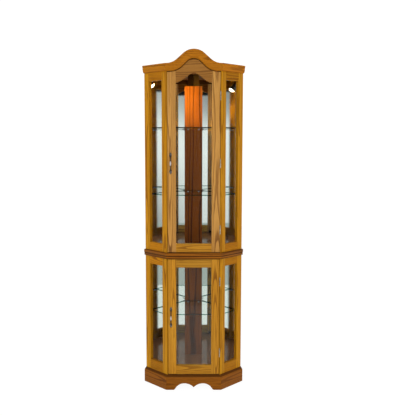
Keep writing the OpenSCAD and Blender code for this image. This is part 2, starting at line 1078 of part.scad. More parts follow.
module door_pane(z0, z1) {
  color(glass_tint)
    place()
      block([-open_half - pane_bite, door_groove_y + pane_fit, z0 - pane_bite],
            [open_half + pane_bite, door_groove_y + pane_fit + glass_t, z1]);
}

module upper_door_pane() {
  door_pane(upper_open_z, upper_slot_z - pane_fit);
}

module lower_door_pane() {
  door_pane(lower_open_z[0], lower_open_z[1] + pane_bite);
}

module upper_door_hinge_leaves() {
  door_leaves(upper_hinges);
}

module lower_door_hinge_leaves() {
  door_leaves(lower_hinges);
}

module upper_door_strike() {
  strike(waist_z);
}

module lower_door_strike() {
  strike(base_h);
}

// A pull: a bowed bar with a bead between two collars, on two leaf-shaped feet
module on_bow(turn) {
  translate([0, pull_radius - pull_rise, 0])
    rotate([turn, 0, 0])
      translate([0, -pull_radius, 0])
        children();
}

function leaf_outline() =
  let (n = 12, tip = pull_l / 2, root = pull_l / 2 - foot_l)
  concat(
    [for (i = [0 : n]) [foot_w / 2 * sin(180 * pow(i / n, 1.3)), root + (tip - root) * i / n]],
    [for (i = [n - 1 : -1 : 1]) [-foot_w / 2 * sin(180 * pow(i / n, 1.3)), root + (tip - root) * i / n]]
  );

module pull(z) {
  collar_turn = asin((bead_l + collar_h) / 2 / pull_radius);
  color(bronze)
    place()
      translate([pull_x, 0, z])
        difference() {
          union() {
            translate([0, pull_radius - pull_rise, 0])
              rotate([0, 90, 0])
                rotate([0, 0, -90 - pull_sweep])
                  rotate_extrude(angle = 2 * pull_sweep)
                    translate([pull_radius, 0])
                      circle(pull_bar_r, $fn = 24);
            translate([0, -pull_rise, 0])
              rotate_extrude()
                polygon([for (i = [0 : 2 * round_steps])
                  let (a = 90 * i / round_steps)
                  [bead_r * sin(a), -bead_l / 2 * cos(a)]]);
            for (hand = [-1, 1])
              on_bow(hand * collar_turn)
                cylinder(r = collar_r, h = collar_h, center = true);
            slab(-foot_t, 0)
              polygon(leaf_outline());
            mirror([0, 0, 1])
              slab(-foot_t, 0)
                polygon(leaf_outline());
          }
          block([-pull_l, 0, -pull_l], [pull_l, pull_l, pull_l]);
        }
}

module upper_door_pull() {
  pull(upper_pull_z);
}

module lower_door_pull() {
  pull(lower_pull_z);
}

base_front_skirt();
base_left_skirt();
base_right_skirt();
bottom_panel();
waist_deck();
top_panel();
waist_front_rail();
waist_left_moulding();
waist_right_moulding();
crown_header();
crown_front_moulding();
crown_left_moulding();
crown_right_moulding();
left_front_stile();
left_rear_stile();
left_top_rail();
left_middle_rail();
left_foot_rail();
right_front_stile();
right_rear_stile();
right_top_rail();
right_middle_rail();
right_foot_rail();
upper_left_pane();
upper_right_pane();
lower_left_pane();
lower_right_pane();
left_back_board();
right_back_board();
upper_left_mirror();
upper_right_mirror();
lower_left_mirror();
lower_right_mirror();
upper_corner_cover();
lower_corner_cover();
high_shelf();
middle_shelf();
low_shelf();
shelf_pins();
lamp_bracket();
lamp_can();
lamp_bulb();
door_catches();
frame_hinge_leaves();
upper_door_hinge_stile();
upper_door_pull_stile();
upper_door_arched_rail();
upper_door_foot_rail();
upper_door_pane();
upper_door_hinge_leaves();
upper_door_pull();
upper_door_strike();
lower_door_hinge_stile();
lower_door_pull_stile();
lower_door_top_rail();
lower_door_foot_rail();
lower_door_pane();
lower_door_hinge_leaves();
lower_door_pull();
lower_door_strike();
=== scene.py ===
import math
import random

import bmesh
import bpy
import numpy as np
from mathutils import Matrix, Vector
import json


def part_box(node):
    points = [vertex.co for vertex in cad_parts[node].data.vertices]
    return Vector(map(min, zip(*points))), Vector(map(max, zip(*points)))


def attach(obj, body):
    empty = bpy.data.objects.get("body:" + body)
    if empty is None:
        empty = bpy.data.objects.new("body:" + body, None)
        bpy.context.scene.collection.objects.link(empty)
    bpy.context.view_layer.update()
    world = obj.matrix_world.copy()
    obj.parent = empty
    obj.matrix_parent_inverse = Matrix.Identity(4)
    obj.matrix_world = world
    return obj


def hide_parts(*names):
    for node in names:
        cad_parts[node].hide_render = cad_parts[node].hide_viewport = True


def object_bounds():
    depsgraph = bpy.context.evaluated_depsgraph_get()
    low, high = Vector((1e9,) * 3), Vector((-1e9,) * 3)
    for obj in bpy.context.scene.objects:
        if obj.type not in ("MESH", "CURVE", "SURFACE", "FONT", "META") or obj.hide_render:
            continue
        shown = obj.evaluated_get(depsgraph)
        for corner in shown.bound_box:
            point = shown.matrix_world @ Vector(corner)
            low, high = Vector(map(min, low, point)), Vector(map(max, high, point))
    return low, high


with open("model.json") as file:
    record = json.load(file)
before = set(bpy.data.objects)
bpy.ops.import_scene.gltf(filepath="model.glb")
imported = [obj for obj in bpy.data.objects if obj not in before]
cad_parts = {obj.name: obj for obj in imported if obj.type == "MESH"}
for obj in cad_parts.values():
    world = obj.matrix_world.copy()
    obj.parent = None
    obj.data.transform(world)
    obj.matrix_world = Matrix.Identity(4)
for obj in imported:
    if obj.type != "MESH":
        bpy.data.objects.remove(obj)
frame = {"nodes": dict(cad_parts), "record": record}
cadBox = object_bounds()
cadNodes = frame["nodes"]
record = frame["record"]
bodyOf = {node: body for body, nodes in record["behaviour"]["bodies"].items() for node in nodes}
print("frame loaded:", len(cadNodes), "CAD nodes")

scene = bpy.context.scene
scene.view_settings.view_transform = "Standard"

sideAngle = 45  # degrees between the front and each side
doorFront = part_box("upper_door_pull_stile")[0].y


# Colours

def shade(red, green, blue):
    # turns the values of a screen colour into the scene's linear light
    def linear(part):
        part = part / 255
        return part / 12.92 if part <= 0.04045 else ((part + 0.055) / 1.055) ** 2.4
    return (linear(red), linear(green), linear(blue), 1)


# Node tree helpers, for shader and geometry trees alike

def feed(tree, socket, value):
    if isinstance(value, bpy.types.NodeSocket):
        tree.links.new(value, socket)
    else:
        socket.default_value = value


def addNode(tree, kind, inputs=None, **settings):
    node = tree.nodes.new(kind)
    for name, value in settings.items():
        setattr(node, name, value)
    for name, value in (inputs or {}).items():
        feed(tree, node.inputs[name], value)
    return node


def calc(tree, operation, *values, clamp=False):
    node = addNode(tree, "ShaderNodeMath", operation=operation, use_clamp=clamp)
    for socket, value in zip(node.inputs, values):
        feed(tree, socket, value)
    return node.outputs[0]


def mixColour(tree, factor, first, second, blend="MIX"):
    node = addNode(tree, "ShaderNodeMix", data_type="RGBA", blend_type=blend)
    for place, value in ((0, factor), (6, first), (7, second)):
        feed(tree, node.inputs[place], value)
    return node.outputs[2]


def tinted(tree, first, second):
    return mixColour(tree, 1.0, first, second, "MULTIPLY")


def stretched(tree, vector, across, along):
    # a vector scaled by across in X and Y, and by along in Z
    node = addNode(tree, "ShaderNodeVectorMath", operation="MULTIPLY")
    feed(tree, node.inputs[0], vector)
    node.inputs[1].default_value = (across, across, along)
    return node.outputs[0]


def noise(tree, vector, scale=1.0, detail=2.0, roughness=0.5):
    return addNode(tree, "ShaderNodeTexNoise",
                   {"Vector": vector, "Scale": scale, "Detail": detail, "Roughness": roughness})


def ramp(tree, factor, stops):
    # each stop is a place and its grey or its colour
    node = addNode(tree, "ShaderNodeValToRGB")
    elements = node.color_ramp.elements
    while len(elements) < len(stops):
        elements.new(0.5)
    for element, (place, value) in zip(elements, stops):
        element.position = place
        element.color = value if isinstance(value, tuple) else (value, value, value, 1)
    feed(tree, node.inputs[0], factor)
    return node.outputs[0]


def objectPlace(tree):
    return addNode(tree, "ShaderNodeTexCoord").outputs["Object"]


def axisOf(tree, vector, axis):
    return addNode(tree, "ShaderNodeSeparateXYZ", {"Vector": vector}).outputs[axis]


def newGroup(name, inputs, outputs):
    group = bpy.data.node_groups.new(name, "ShaderNodeTree")
    kinds = {"vector": "NodeSocketVector", "float": "NodeSocketFloat", "colour": "NodeSocketColor"}
    for label, kind, value in inputs:
        socket = group.interface.new_socket(name=label, in_out="INPUT", socket_type=kinds[kind])
        if value is not None:
            socket.default_value = value
    for label, kind in outputs:
        group.interface.new_socket(name=label, in_out="OUTPUT", socket_type=kinds[kind])
    return group, group.nodes.new("NodeGroupInput"), group.nodes.new("NodeGroupOutput")


def newMaterial(name):
    material = bpy.data.materials.new(name)
    material.use_nodes = True
    tree = material.node_tree
    return material, tree, tree.nodes["Principled BSDF"]


# Shared effects

# each noise is given by its scale across the grain, its scale along the grain and its detail
grainForm = {
    "ringWidth": 0.007, "wander": 0.045, "lineStrength": 0.7, "poreStrength": 0.6,
    "pale": (205, 155, 80), "middle": (188, 133, 62), "line": (140, 84, 34), "pore": (90, 50, 22),
    "wanderNoise": (6, 1.3, 1), "slantNoise": (0, 0.7, 0), "slant": 0.05,
    "rippleNoise": (70, 6, 2), "ripple": 0.6, "yearSpread": 0.6,
    "ringTones": [(0, 0.35), (0.06, 1), (0.28, 0.8), (0.42, 0.2), (0.75, 0.05), (1, 0)],
    "strokeNoise": (900, 26, 2), "strokeEdge": [(0.55, 0), (0.64, 1)], "strokeInLine": 0.75,
    "dashNoise": (300, 14, 1), "dashEdge": [(0.64, 0), (0.72, 1)], "dashStrength": 0.35,
    "toneNoise": (9, 1.6, 3), "toneEdge": [(0.3, 0), (0.7, 1)],
    "roughness": 0.38, "toneRoughness": 0.12, "poreRoughness": 0.2, "lineDepth": 0.3,
}


def makeOakGrain():
    # Board: X across the face, Y into the board, Z along the grain, in metres from the pith
    form = grainForm
    group, source, result = newGroup(
        "oakGrain",
        [("Board", "vector", None),
         ("Ring width", "float", form["ringWidth"]), ("Wander", "float", form["wander"]),
         ("Line strength", "float", form["lineStrength"]), ("Pore strength", "float", form["poreStrength"]),
         ("Pale", "colour", shade(*form["pale"])), ("Middle", "colour", shade(*form["middle"])),
         ("Line", "colour", shade(*form["line"])), ("Pore", "colour", shade(*form["pore"]))],
        [("Colour", "colour"), ("Roughness", "float"), ("Height", "float")])
    put = source.outputs
    board = put["Board"]

    def wandering(part, start):
        return calc(group, "MULTIPLY_ADD", calc(group, "SUBTRACT", part, 0.5), put["Wander"], start)

    def blotches(name):
        across, along, detail = form[name]
        return noise(group, stretched(group, board, across, along), detail=detail).outputs

    parts = addNode(group, "ShaderNodeSeparateXYZ", {"Vector": board}).outputs
    turn = addNode(group, "ShaderNodeSeparateColor", {"Color": blotches("wanderNoise")["Color"]}).outputs
    across = wandering(turn[0], parts[0])
    inwards = wandering(turn[1], parts[1])
    inwards = calc(group, "MULTIPLY_ADD", blotches("slantNoise")[0], form["slant"], inwards)
    square = calc(group, "MULTIPLY_ADD", across, across, calc(group, "MULTIPLY", inwards, inwards))
    rings = calc(group, "DIVIDE", calc(group, "SQRT", square), put["Ring width"])
    rings = calc(group, "MULTIPLY_ADD", blotches("rippleNoise")[0], form["ripple"], rings)
    line = ramp(group, calc(group, "FRACT", rings), form["ringTones"])
    year = addNode(group, "ShaderNodeTexWhiteNoise", noise_dimensions="1D")
    feed(group, year.inputs["W"], calc(group, "FLOOR", rings))
    weight = calc(group, "MULTIPLY_ADD", year.outputs["Value"], form["yearSpread"], 1 - form["yearSpread"])
    line = calc(group, "MULTIPLY", line, weight)
    # open pores, short dark strokes along the grain, thickest in the early wood
    pores = ramp(group, blotches("strokeNoise")[0], form["strokeEdge"])
    early = calc(group, "MULTIPLY_ADD", line, form["strokeInLine"], 1 - form["strokeInLine"])
    pores = calc(group, "MULTIPLY", pores, early)
    dashes = ramp(group, blotches("dashNoise")[0], form["dashEdge"])
    tone = blotches("toneNoise")[0]
    colour = mixColour(group, ramp(group, tone, form["toneEdge"]), put["Middle"], put["Pale"])
    colour = mixColour(group, calc(group, "MULTIPLY", line, put["Line strength"]), colour, put["Line"])
    colour = mixColour(group, calc(group, "MULTIPLY", dashes, form["dashStrength"]), colour, put["Line"])
    colour = mixColour(group, calc(group, "MULTIPLY", pores, put["Pore strength"]), colour, put["Pore"])
    group.links.new(colour, result.inputs["Colour"])
    rough = calc(group, "MULTIPLY_ADD", tone, form["toneRoughness"], form["roughness"])
    rough = calc(group, "MULTIPLY_ADD", pores, form["poreRoughness"], rough)
    group.links.new(rough, result.inputs["Roughness"])
    height = calc(group, "MULTIPLY_ADD", pores, -1, calc(group, "MULTIPLY", line, -form["lineDepth"]))
    group.links.new(height, result.inputs["Height"])
    return group


handlingForm = {"amount": 0.5, "scale": 9.0, "detail": 4.0, "roughness": 0.62, "edge": [(0.45, 0), (0.75, 1)]}


def makeHandling():
    # faint smears and dust, as on glass
    form = handlingForm
    group, source, result = newGroup(
        "handling",
        [("Place", "vector", None), ("Amount", "float", form["amount"]), ("Scale", "float", form["scale"])],
        [("Mask", "float")])
    put = source.outputs
    smear = noise(group, put["Place"], put["Scale"], form["detail"], form["roughness"])
    mask = ramp(group, smear.outputs[0], form["edge"])
    group.links.new(calc(group, "MULTIPLY", mask, put["Amount"]), result.inputs["Mask"])
    return group


oakGrain = makeOakGrain()
handling = makeHandling()
print("shared shader groups made")


# Wood

# the rear tone is painted shade on faces turned to the inside, and on the doors a paler, greyer painted
# sheen; the front tone is painted shade on the faces in front
# the bands list the colour's tone at distances below the board's top: painted shade at the top, in the
# hollows and at the foot, and on the waist a painted highlight on one band
# boardTones and the rear tones after them are for single boards, the rear tone there being a greyer painted
# sheen
woodLooks = {
    # the door oak is paler and greyer than the frames' oak: painted sheen on the doors' front faces
    "doorOak": {"pale": (204, 151, 78), "middle": (184, 130, 60), "line": (104, 60, 24), "pore": (82, 46, 18),
                "lineStrength": 0.85, "ringWidth": 0.0042, "rearTone": (1.25, 1.6, 3.4, 1)},
    "archOak": {"pale": (178, 124, 56), "middle": (154, 103, 44), "line": (84, 47, 18), "pore": (68, 38, 14),
                "lineStrength": 0.8, "ringWidth": 0.006, "rearTone": 0.45, "pithDepth": 0.05},
    # the lower door oak is a brighter, more orange copy of the door oak: painted light on the lower door and
    # the upper door's foot rail
    "lowDoorOak": {"pale": (208, 148, 46), "middle": (188, 126, 30), "line": (112, 62, 12),
                   "pore": (90, 48, 10), "lineStrength": 0.85, "ringWidth": 0.0045,
                   "rearTone": (1.2, 1.6, 3.6, 1)},
    "sideOak": {"pale": (214, 150, 26), "middle": (196, 130, 12), "line": (132, 74, 4), "pore": (100, 52, 4),
                "lineStrength": 0.75, "ringWidth": 0.005, "rearTone": 0.65},
    "railOak": {"pale": (212, 141, 18), "middle": (194, 121, 6), "line": (130, 68, 2), "pore": (98, 48, 2),
                "lineStrength": 0.75, "ringWidth": 0.005, "rearTone": 0.65},
    "crownOak": {"pale": (192, 121, 20), "middle": (174, 103, 10), "line": (108, 56, 6), "pore": (84, 42, 4),
                 "lineStrength": 0.8, "ringWidth": 0.007},
    "headerOak": {"pale": (156, 104, 42), "middle": (136, 86, 32), "line": (76, 42, 14), "pore": (62, 34, 10),
                  "lineStrength": 0.9, "ringWidth": 0.005, "rearTone": 0.4},
    "waistOak": {"pale": (160, 95, 22), "middle": (141, 81, 15), "line": (88, 45, 6), "pore": (64, 32, 4),
                 "lineStrength": 0.75, "ringWidth": 0.006,
                 "hollows": [(0, 0.6), (0.002, 0.6), (0.005, 1), (0.0135, 1), (0.0165, 0.4), (0.0205, 0.4),
                             (0.022, 1.15), (0.026, 1.1), (0.029, 0.5), (0.033, 0.45)]},
    "baseOak": {"pale": (160, 95, 22), "middle": (141, 81, 15), "line": (88, 45, 6), "pore": (64, 32, 4),
                "lineStrength": 0.75, "ringWidth": 0.005, "hollows": [(0, 0.42), (0.0085, 0.42), (0.011, 1)]},
    "coverOak": {"pale": (150, 82, 18), "middle": (128, 66, 14), "line": (64, 28, 6), "pore": (50, 24, 4),
                 "lineStrength": 1.0, "ringWidth": 0.013, "rearTone": 0.2, "pithDepth": 0.004},
    "insideOak": {"pale": (156, 100, 52), "middle": (136, 84, 42), "line": (96, 56, 28), "pore": (76, 44, 22),
                  "lineStrength": 0.6, "ringWidth": 0.008},
    "deckOak": {"pale": (168, 114, 70), "middle": (148, 98, 58), "line": (106, 66, 38), "pore": (86, 52, 30),
                "lineStrength": 0.6, "ringWidth": 0.006, "coat": 1.0, "coatRoughness": 0.1},
    "boardOak": {"pale": (168, 134, 92), "middle": (152, 118, 78), "line": (128, 94, 60),
                 "pore": (110, 78, 50), "lineStrength": 0.45, "ringWidth": 0.012, "frontTone": 0.12},
}
woodFinish = {"sheen": 0.07, "coat": 0.02, "coatRoughness": 0.2, "bump": 0.35, "bumpDepth": 0.0004,
              "pithDepth": 0.012, "sideShift": 0.02, "alongShift": 3, "pithSpread": (0.6, 1.3),
              "toneSpread": (0.94, 1.05), "ringSpread": (0.8, 1.2), "turnEdge": (0.4, 0.6)}
boardTones = {"lower_door_pull_stile": 1.1, "lower_door_top_rail": 0.95, "lower_door_foot_rail": 1.03,
              "upper_door_foot_rail": 0.94, "left_top_rail": 0.95, "right_top_rail": 0.9,
              "right_middle_rail": 0.9, "left_foot_rail": 0.92, "right_foot_rail": 0.86,
              "crown_right_moulding": 1.06}
paintedRearSheens = {"upper_door_foot_rail": (1.8, 2.6, 8.0, 1)}

boardTurns = {
    "upright": Matrix.Identity(3),
    "upright right": Matrix.Rotation(-math.radians(sideAngle), 3, "Z"),
    "upright left": Matrix.Rotation(math.radians(sideAngle), 3, "Z"),
    "level": Matrix.Rotation(-math.pi / 2, 3, "Y"),
    "flat": Matrix.Rotation(-math.pi / 2, 3, "Y") @ Matrix.Rotation(math.pi / 2, 3, "X"),
}
boardTurns["level right"] = boardTurns["level"] @ boardTurns["upright right"]
boardTurns["level left"] = boardTurns["level"] @ boardTurns["upright left"]


def woodMaterial(node, look, lie):
    # each board has its own material, because each was cut from another part of the tree
    name = node + "Oak"
    values = {**woodFinish, **woodLooks[look]}
    low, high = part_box(node)
    draw = random.Random(name)
    material, tree, skin = newMaterial(name)
    turn = boardTurns[lie]
    offset = Vector((draw.uniform(-values["sideShift"], values["sideShift"]),
                     values["pithDepth"] * draw.uniform(*values["pithSpread"]),
                     draw.uniform(-values["alongShift"], values["alongShift"])))
    place = objectPlace(tree)
    board = addNode(tree, "ShaderNodeMapping", {"Vector": place})
    board.inputs["Rotation"].default_value = turn.to_euler("XYZ")
    board.inputs["Location"].default_value = offset - turn @ ((low + high) / 2)
    grain = addNode(tree, "ShaderNodeGroup", node_tree=oakGrain)
    tree.links.new(board.outputs[0], grain.inputs["Board"])
    lift = draw.uniform(*values["toneSpread"]) * boardTones.get(node, 1)
    for socket, part in (("Pale", "pale"), ("Middle", "middle"), ("Line", "line"), ("Pore", "pore")):
        grain.inputs[socket].default_value = shade(*(tone * lift for tone in values[part]))
    grain.inputs["Line strength"].default_value = values["lineStrength"]
    grain.inputs["Ring width"].default_value = values["ringWidth"] * draw.uniform(*values["ringSpread"])
    colour = grain.outputs["Colour"]
    frontTone = values.get("frontTone", 1)
    rearTone = paintedRearSheens.get(node, values.get("rearTone", 1))
    if frontTone != rearTone:
        # the normal's Y tells faces turned to the front from faces turned to the inside, which take the
        # painted shade and sheen
        normal = addNode(tree, "ShaderNodeTexCoord").outputs["Normal"]
        facing = calc(tree, "MULTIPLY_ADD", axisOf(tree, normal, "Y"), 0.5, 0.5)
        front, rear = values["turnEdge"]
        colour = tinted(tree, colour, ramp(tree, facing, [(front, frontTone), (rear, rearTone)]))
    # painted shade in bands below the board's top, with a painted highlight band on the waist
    if "hollows" in values:
        reach = values["hollows"][-1][0]
        depth = calc(tree, "SUBTRACT", high.z, axisOf(tree, place, "Z"))
        depth = calc(tree, "MULTIPLY", depth, 1 / reach, clamp=True)
        tones = [(distance / reach, tone) for distance, tone in values["hollows"]]
        colour = tinted(tree, colour, ramp(tree, depth, tones))
    tree.links.new(colour, skin.inputs["Base Color"])
    tree.links.new(grain.outputs["Roughness"], skin.inputs["Roughness"])
    bump = addNode(tree, "ShaderNodeBump", {"Strength": values["bump"], "Distance": values["bumpDepth"],
                                            "Height": grain.outputs["Height"]})
    tree.links.new(bump.outputs[0], skin.inputs["Normal"])
    skin.inputs["Specular IOR Level"].default_value = values["sheen"]
    skin.inputs["Coat Weight"].default_value = values["coat"]
    skin.inputs["Coat Roughness"].default_value = values["coatRoughness"]
    return material


# Pieces made from the CAD solids, with their edges eased

easing = {"weld": 1e-5, "flatAngle": 0.5, "sharpAngle": 32, "smoothAngle": 26, "segments": 2,
          "shortest": 0.0015}


def newPiece(name, mesh, body, material):
    piece = bpy.data.objects.new(name, mesh)
    scene.collection.objects.link(piece)
    mesh.materials.clear()
    mesh.materials.append(material)
    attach(piece, body)
    return piece


def easedMesh(node, ease, shortest):
    # bevels the outer edges that are sharp, and longer than the shortest
    mesh = cadNodes[node].data.copy()
    work = bmesh.new()
    work.from_mesh(mesh)
    bmesh.ops.remove_doubles(work, verts=work.verts, dist=easing["weld"])
    flatAngle, sharpAngle, smoothAngle = (
        math.radians(easing[name]) for name in ("flatAngle", "sharpAngle", "smoothAngle"))
    bmesh.ops.dissolve_limit(work, angle_limit=flatAngle, verts=work.verts, edges=work.edges)
    sharp = [edge for edge in work.edges
             if len(edge.link_faces) == 2 and edge.calc_face_angle_signed(0) > sharpAngle
             and edge.calc_length() > shortest]
    bmesh.ops.bevel(work, geom=sharp, offset=ease, segments=easing["segments"], profile=0.5, affect="EDGES",
                    clamp_overlap=True)
    work.to_mesh(mesh)
    work.free()
    mesh.polygons.foreach_set("use_smooth", [True] * len(mesh.polygons))
    mesh.set_sharp_from_angle(angle=smoothAngle)
    return mesh


def easedPiece(node, ending, material, ease, shortest=easing["shortest"]):
    piece = newPiece(node + ending, easedMesh(node, ease, shortest), bodyOf[node], material)
    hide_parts(node)


woodEase = {"frame": 0.0012, "door": 0.0014, "moulding": 0.0008, "board": 0.0006}
woodPieces = [
    ("base_front_skirt", "baseOak", "level", "moulding"),
    ("base_left_skirt", "baseOak", "level left", "moulding"),
    ("base_right_skirt", "baseOak", "level right", "moulding"),
    ("bottom_panel", "deckOak", "flat", "board"),
    ("waist_deck", "deckOak", "flat", "board"),
    ("top_panel", "insideOak", "flat", "board"),
    ("waist_front_rail", "waistOak", "level", "moulding"),
    ("waist_left_moulding", "waistOak", "level left", "moulding"),
    ("waist_right_moulding", "waistOak", "level right", "moulding"),
    ("crown_header", "headerOak", "level", "moulding"),
    ("crown_front_moulding", "crownOak", "level", "moulding"),
    ("crown_left_moulding", "crownOak", "level left", "moulding"),
    ("crown_right_moulding", "crownOak", "level right", "moulding"),
    ("left_back_board", "boardOak", "upright left", "board"),
    ("right_back_board", "boardOak", "upright right", "board"),
    ("upper_corner_cover", "coverOak", "upright", "board"),
    ("lower_corner_cover", "coverOak", "upright", "board"),
    ("upper_door_hinge_stile", "doorOak", "upright", "door"),
    ("upper_door_pull_stile", "doorOak", "upright", "door"),
    ("upper_door_arched_rail", "archOak", "level", "door"),
    ("upper_door_foot_rail", "lowDoorOak", "level", "door"),
    ("lower_door_hinge_stile", "lowDoorOak", "upright", "door"),
    ("lower_door_pull_stile", "lowDoorOak", "upright", "door"),
    ("lower_door_top_rail", "lowDoorOak", "level", "door"),
    ("lower_door_foot_rail", "lowDoorOak", "level", "door"),
]
for side in ("left", "right"):
    for part in ("front_stile", "rear_stile"):
        woodPieces.append((side + "_" + part, "sideOak", "upright " + side, "frame"))
    for part in ("top_rail", "middle_rail", "foot_rail"):
        woodPieces.append((side + "_" + part, "railOak", "level " + side, "frame"))
for node, look, lie, edge in woodPieces:
    easedPiece(node, "_board", woodMaterial(node, look, lie), woodEase[edge])
print("wood:", len(woodPieces), "boards")


# Glass and mirrors

glassLook = {"tint": (0.98, 0.99, 0.985), "alpha": 0.76, "smear": 0.0, "bend": 1.01, "gloss": 0.1,
             "patchScale": 3.0, "dust": 0.985}
lowPaneLook = {**glassLook, "gloss": 0.75}
shelfLook = {"tint": (0.97, 0.995, 0.985), "alpha": 1.0, "smear": 0.02, "bend": 1.003, "gloss": 0.04,
             "edge": (0.008, 0.07, 0.045), "edgeTurn": [(0.3, 0), (0.9, 1)], "ease": 0.0008}
mirrorLook = {"silver": (0.9, 0.92, 0.91), "smear": 0.008, "patchScale": 2.0, "dust": 0.985}


def smearedSkin(name, look):
    # starts a material whose roughness is that of faint smears
    material, tree, skin = newMaterial(name)
    place = objectPlace(tree)
    smear = addNode(tree, "ShaderNodeGroup", {"Place": place, "Amount": look["smear"]}, node_tree=handling)
    tree.links.new(smear.outputs["Mask"], skin.inputs["Roughness"])
    return material, tree, skin, place


def dustyColour(tree, place, colour, look):
    patch = noise(tree, place, look["patchScale"]).outputs[0]
    dusty = tuple(look["dust"] * part for part in colour)
    return mixColour(tree, patch, (*colour, 1), (*dusty, 1))


def paneMaterial(name, look):
    material, tree, skin, place = smearedSkin(name, look)
    if "edge" in look:
        # the cut edges of a shelf look green, because light runs a long way through the glass
        normal = addNode(tree, "ShaderNodeNewGeometry").outputs["Normal"]
        flat = ramp(tree, calc(tree, "ABSOLUTE", axisOf(tree, normal, "Z")), look["edgeTurn"])
        colour = mixColour(tree, flat, (*look["edge"], 1), (*look["tint"], 1))
        tree.links.new(colour, skin.inputs["Base Color"])
        tree.links.new(calc(tree, "MULTIPLY_ADD", flat, look["alpha"] - 1, 1), skin.inputs["Alpha"])
    else:
        tree.links.new(dustyColour(tree, place, look["tint"], look), skin.inputs["Base Color"])
        skin.inputs["Alpha"].default_value = look["alpha"]
    skin.inputs["Transmission Weight"].default_value = 1
    skin.inputs["IOR"].default_value = look["bend"]
    skin.inputs["Coat Weight"].default_value = look["gloss"]
    return material


def mirrorMaterial():
    material, tree, skin, place = smearedSkin("mirrorSilver", mirrorLook)
    tree.links.new(dustyColour(tree, place, mirrorLook["silver"], mirrorLook), skin.inputs["Base Color"])
    skin.inputs["Metallic"].default_value = 1
    return material


def dress(node, material):
    mesh = cadNodes[node].data
    mesh.materials.clear()
    mesh.materials.append(material)


clearGlass = paneMaterial("clearGlass", glassLook)
lowPaneGlass = paneMaterial("lowPaneGlass", lowPaneLook)
shelfGlass = paneMaterial("shelfGlass", shelfLook)
silveredGlass = mirrorMaterial()
for node in cadNodes:
    if node.endswith("_pane"):
        dress(node, lowPaneGlass if node == "lower_door_pane" else clearGlass)
    elif node.endswith("_mirror"):
        dress(node, silveredGlass)
    elif node.endswith("_shelf"):
        easedPiece(node, "_glass", shelfGlass, shelfLook["ease"])
print("glass, mirrors and shelves")


# Metal and small parts

metalLooks = {
    "nickel": {"bright": (196, 186, 172), "dark": (120, 110, 98), "metallic": 1, "roughness": 0.3},
    "steel": {"bright": (176, 176, 172), "dark": (110, 110, 108), "metallic": 1, "roughness": 0.3},
    "blackEnamel": {"bright": (30, 29, 30), "dark": (14, 13, 14), "metallic": 0, "roughness": 0.3},
    "brownPlastic": {"bright": (74, 46, 30), "dark": (54, 33, 22), "metallic": 0, "roughness": 0.45},
}
metalWear = {"scale": 120.0, "detail": 3.0, "edge": [(0.35, 0), (0.65, 1)], "roughnessSpread": 0.15,
             "roughnessDrop": 0.07}


def metalMaterial(name):
    look = metalLooks[name]
    material, tree, skin = newMaterial(name)
    patina = noise(tree, objectPlace(tree), metalWear["scale"], metalWear["detail"]).outputs[0]
    worn = ramp(tree, patina, metalWear["edge"])
    colour = mixColour(tree, worn, shade(*look["dark"]), shade(*look["bright"]))
    tree.links.new(colour, skin.inputs["Base Color"])
    rough = calc(tree, "MULTIPLY_ADD", patina, metalWear["roughnessSpread"],
                 look["roughness"] - metalWear["roughnessDrop"])
    tree.links.new(rough, skin.inputs["Roughness"])
    skin.inputs["Metallic"].default_value = look["metallic"]
    return material


# bead, collar and stem are distances from the pull's middle
pullLook = {"bead": 0.0115, "collar": 0.0148, "stem": 0.039, "bright": (196, 188, 190), "black": (24, 22, 22),
            "stemTone": (70, 62, 58), "leaf": (132, 122, 116), "leafDark": (56, 50, 46),
            "patinaScale": 260.0, "patinaDetail": 3.0, "patinaEdge": [(0.4, 0), (0.62, 1)],
            "roughness": 0.28, "roughnessSpread": 0.2, "metallic": 0.75, "waveScale": 160.0, "waveTwist": 2.0,
            "bump": 0.4, "bumpDepth": 0.0004, "ease": 0.0003, "shortest": 0.0008}


def pullMaterial(node):
    # bright bead, black collars, dark stems and grey leaf ends, one after the other from the middle
    look = pullLook
    material, tree, skin = newMaterial(node + "Pewter")
    place = objectPlace(tree)
    low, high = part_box(node)
    away = calc(tree, "ABSOLUTE", calc(tree, "SUBTRACT", axisOf(tree, place, "Z"), (low.z + high.z) / 2))
    patina = noise(tree, place, look["patinaScale"], look["patinaDetail"]).outputs[0]
    worn = ramp(tree, patina, look["patinaEdge"])
    colour = mixColour(tree, worn, shade(*look["leafDark"]), shade(*look["leaf"]))
    colour = mixColour(tree, calc(tree, "GREATER_THAN", away, look["stem"]), shade(*look["stemTone"]), colour)
    for part, tone in (("collar", "black"), ("bead", "bright")):
        colour = mixColour(tree, calc(tree, "LESS_THAN", away, look[part]), colour, shade(*look[tone]))
    tree.links.new(colour, skin.inputs["Base Color"])
    rough = calc(tree, "MULTIPLY_ADD", patina, look["roughnessSpread"], look["roughness"])
    tree.links.new(rough, skin.inputs["Roughness"])
    skin.inputs["Metallic"].default_value = look["metallic"]
    wave = addNode(tree, "ShaderNodeTexWave",
                   {"Vector": place, "Scale": look["waveScale"], "Distortion": look["waveTwist"]},
                   bands_direction="DIAGONAL")
    bump = addNode(tree, "ShaderNodeBump",
                   {"Strength": look["bump"], "Distance": look["bumpDepth"], "Height": wave.outputs["Fac"]})
    tree.links.new(bump.outputs[0], skin.inputs["Normal"])
    return material


bulbLook = {"glow": (1.0, 0.78, 0.48), "strength": 60, "frostScale": 300.0, "frostDark": (255, 240, 214),
            "frostBright": (250, 230, 200)}


def bulbMaterial():
    material, tree, skin = newMaterial("bulbGlow")
    frost = noise(tree, objectPlace(tree), bulbLook["frostScale"]).outputs[0]
    glass = mixColour(tree, frost, shade(*bulbLook["frostDark"]), shade(*bulbLook["frostBright"]))
    tree.links.new(glass, skin.inputs["Base Color"])
    skin.inputs["Emission Color"].default_value = (*bulbLook["glow"], 1)
    skin.inputs["Emission Strength"].default_value = bulbLook["strength"]
    return material


